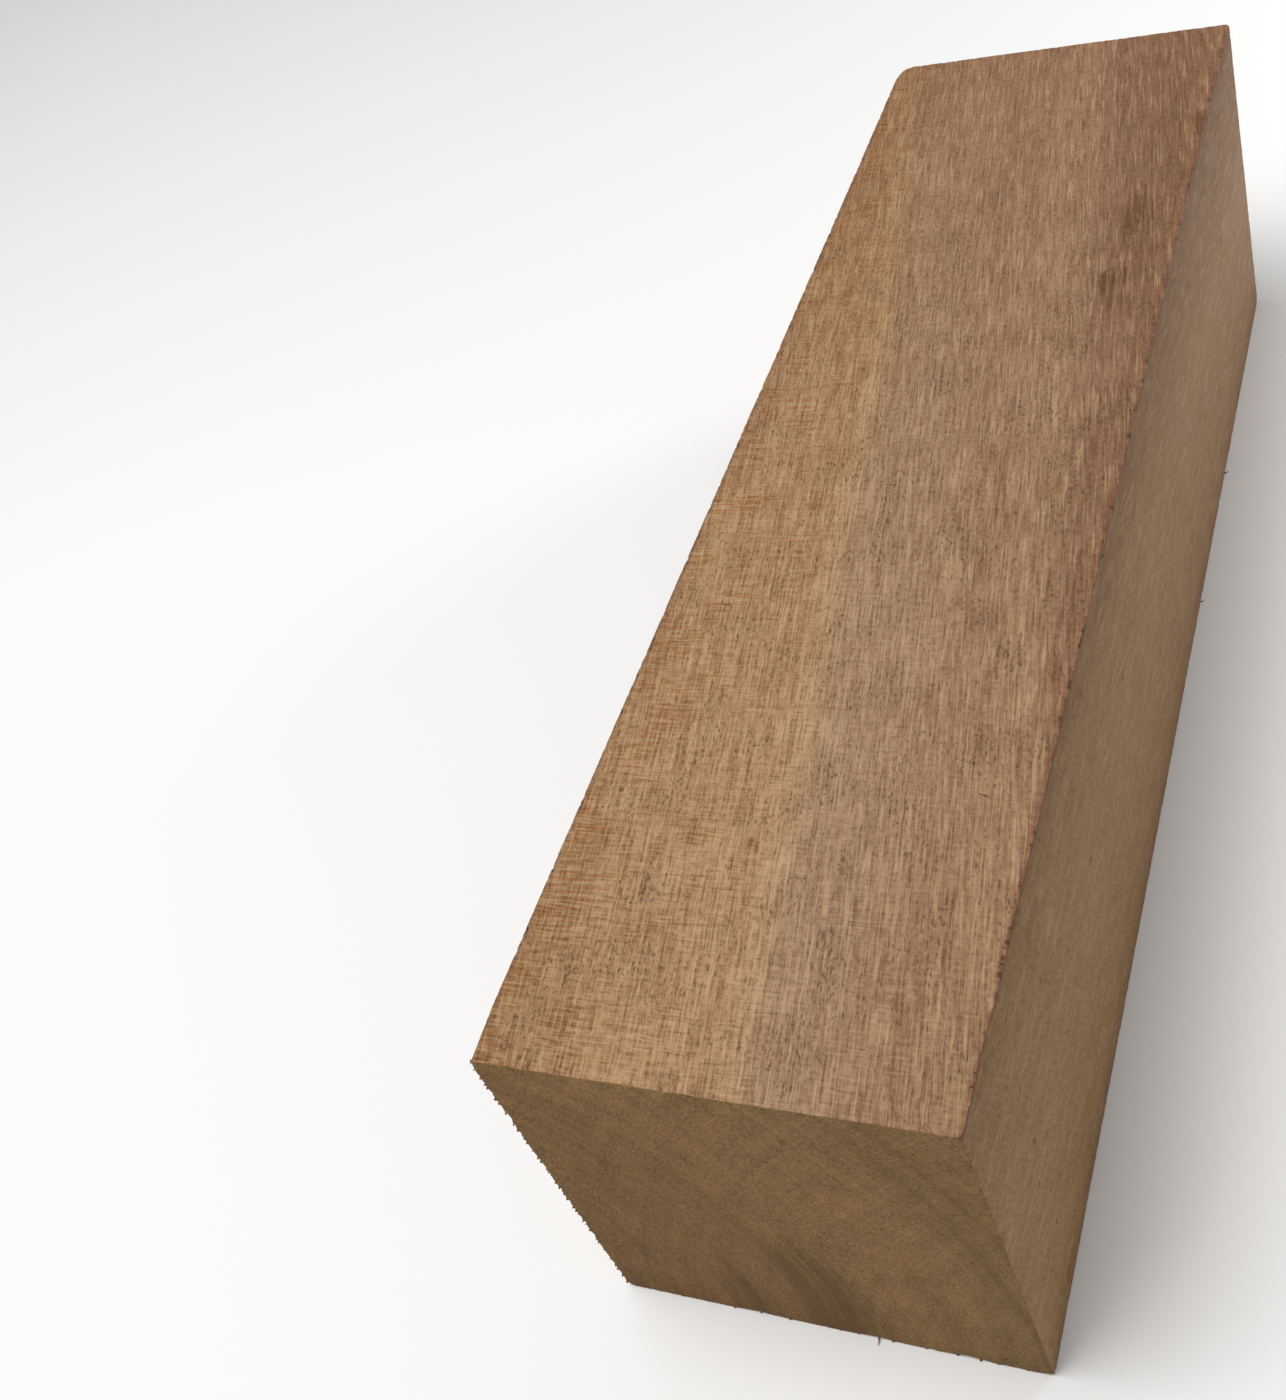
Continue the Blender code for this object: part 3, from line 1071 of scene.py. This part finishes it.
def arris_fibres(draw, length):
    """Fibres torn half loose along the upper right arris."""
    along = FIBRES[0]
    while along < FIBRES[1]:
        root = Vector((HIGH.x - FIBRE_INSET, along, HIGH.z - FIBRE_INSET))
        points = (draw.uniform(0.0, 0.1), draw.choice((-1.0, 1.0)), draw.uniform(-0.02, 0.06))
        bends = (-1.0, 0.0, draw.uniform(-0.6, 0.2))
        dark = draw.random() < DARK_SHARE
        yield root, points, bends, length * draw.uniform(0.4, 1.5), draw.uniform(0.7, 1.3), dark
        along += draw.uniform(*FIBRE_GAPS) * MM


def placed_splinters():
    for root, points, bends, length, thickness, dark in PLACED_SPLINTERS:
        yield Vector(root) * MM, points, bends, length * MM, thickness, dark


def lay_splinter(original, spot, rooted, finishes):
    """A copy of the splinter, with its own mesh, laid as the spot says."""
    root, points, bends, length, thickness, dark = spot
    copy = original.copy()
    copy.data = original.data.copy()
    bpy.context.scene.collection.objects.link(copy)
    points = Vector(points).normalized()
    third = points.cross(Vector(bends)).normalized()
    bends = third.cross(points)
    turn = Matrix((bends * thickness, third * thickness, points * length / MM)).transposed()
    copy.matrix_world = Matrix.Translation(root - points * rooted) @ turn.to_4x4()
    copy.data.materials.append(finishes[1] if dark else finishes[0])
    return copy


def splinter_wood(colors, name, first, second):
    """Bare torn wood, streaked between two colours."""
    wood = Finish(name, colors)
    streaks = wood.grain(wood.place, size=(1.2, 3.0, 1.2), detail=1.0, low=0.35, high=0.65)
    wood.feed(wood.surface["Base Color"], wood.mix(streaks, wood.color(first), wood.color(second)))
    wood.surface["Roughness"].default_value = 0.75
    return wood.material


class IROKO_OT_splinters(bpy.types.Operator):
    """Adds the splinters and loose fibres along the torn arrises"""

    bl_idname = "iroko.splinters"
    bl_label = "Splinters"
    bl_options = {"REGISTER", "UNDO"}

    def execute(self, context):
        settings = context.scene.iroko_splinters
        colors = context.scene.iroko_colors
        finishes = (
            splinter_wood(colors, "iroko_torn_wood", "orange_tan", "red_brown"),
            splinter_wood(colors, "iroko_dark_splinter", "pore", "rust"),
        )
        draw = random.Random(SEED)
        stubs = list(end_stubs(draw, settings.stub_length))
        spots = list(placed_splinters()) + list(arris_fibres(draw, settings.fibre_length))
        stub = model_splinter(settings.radius, STUB_STEPS)
        splinter = model_splinter(settings.radius, SPLINTER_STEPS)
        copies = [lay_splinter(splinter, spot, settings.rooted, finishes) for spot in spots]
        copies += [lay_splinter(stub, spot, settings.rooted, finishes) for spot in stubs]
        for original in (stub, splinter):
            bpy.data.objects.remove(original, do_unlink=True)
        deselect_all()
        for copy in copies:
            copy.select_set(True)
        context.view_layer.objects.active = copies[0]
        bpy.ops.object.join()
        splinters = context.object
        splinters.name = splinters.data.name = "splinters"
        bpy.ops.object.transform_apply(location=True, rotation=True, scale=True)
        bpy.ops.object.mode_set(mode="EDIT")
        bpy.ops.mesh.select_all(action="SELECT")
        bpy.ops.mesh.normals_make_consistent(inside=False)
        bpy.ops.object.mode_set(mode="OBJECT")
        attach(splinters, "root")
        return {"FINISHED"}


def floor_material(color):
    material, surface = start_material("pale_floor")
    surface["Base Color"].default_value = opaque(color)
    surface["Roughness"].default_value = 0.85
    return material


def add_softbox(name, place, size, power):
    """A square area light, turned to face the beam."""
    bpy.ops.object.light_add(type="AREA", location=place)
    light = bpy.context.object
    light.name = name
    aim = Vector(SOFTBOX_AIM) - Vector(place)
    light.rotation_euler = aim.to_track_quat("-Z", "Y").to_euler()
    light.data.shape = "SQUARE"
    light.data.size = size
    light.data.energy = power
    light.visible_camera = False
    return light


class IROKO_OT_stage(bpy.types.Operator):
    """Lays the pale floor, sets the soft light and stands the camera"""

    bl_idname = "iroko.stage"
    bl_label = "Stage"
    bl_options = {"REGISTER", "UNDO"}

    def execute(self, context):
        settings = context.scene.iroko_stage
        deselect_all()
        bpy.ops.mesh.primitive_plane_add(size=FLOOR_SIZE, location=(0.0, 0.0, LOW.z))
        floor = context.object
        floor.name = "floor"
        bpy.ops.object.transform_apply(location=True, rotation=True, scale=True)
        floor.data.materials.append(floor_material(settings.floor_color))

        world = bpy.data.worlds.new("soft_sky")
        world.use_nodes = True
        backdrop = world.node_tree.nodes["Background"]
        backdrop.inputs["Color"].default_value = (1.0, 1.0, 1.0, 1.0)
        backdrop.inputs["Strength"].default_value = settings.sky_strength
        context.scene.world = world
        context.scene.view_settings.view_transform = "Standard"

        add_softbox("key", KEY_PLACE, KEY_SIZE, settings.key_power)
        add_softbox("fill", FILL_PLACE, FILL_SIZE, settings.fill_power)

        bpy.ops.object.camera_add()
        camera = context.object
        camera.location = CAMERA_PLACE
        camera.rotation_euler = [math.radians(angle) for angle in CAMERA_TURN]
        camera.data.lens = settings.lens
        camera.data.shift_x, camera.data.shift_y = CAMERA_SHIFT
        context.scene.camera = camera
        return {"FINISHED"}


class IROKO_PT_panel(bpy.types.Panel):
    """Lists the pieces of the beam and what can be changed on them"""

    bl_label = "Sawn iroko beam"
    bl_idname = "IROKO_PT_panel"
    bl_space_type = "VIEW_3D"
    bl_region_type = "UI"
    bl_category = "Iroko"

    def draw(self, context):
        scene = context.scene
        for operator, settings in (
            ("iroko.sawn_block", (scene.iroko_beam, scene.iroko_colors)),
            ("iroko.splinters", (scene.iroko_splinters,)),
            ("iroko.stage", (scene.iroko_stage,)),
        ):
            box = self.layout.box()
            box.operator(operator)
            for group in settings:
                for name in group.__annotations__:
                    box.prop(group, name)


SETTINGS = {
    "iroko_beam": BeamSettings,
    "iroko_splinters": SplinterSettings,
    "iroko_colors": TimberColors,
    "iroko_stage": StageSettings,
}
OPERATORS = (IROKO_OT_sawn_block, IROKO_OT_splinters, IROKO_OT_stage)
CLASSES = (*SETTINGS.values(), *OPERATORS, IROKO_PT_panel)


def register():
    for cls in CLASSES:
        bpy.utils.register_class(cls)
    for name, kind in SETTINGS.items():
        setattr(bpy.types.Scene, name, bpy.props.PointerProperty(type=kind))


def unregister():
    for name in SETTINGS:
        delattr(bpy.types.Scene, name)
    for cls in reversed(CLASSES):
        bpy.utils.unregister_class(cls)


def main():
    register()
    bpy.ops.iroko.sawn_block()
    bpy.ops.iroko.splinters()
    bpy.ops.iroko.stage()


if __name__ == "__main__":
    main()
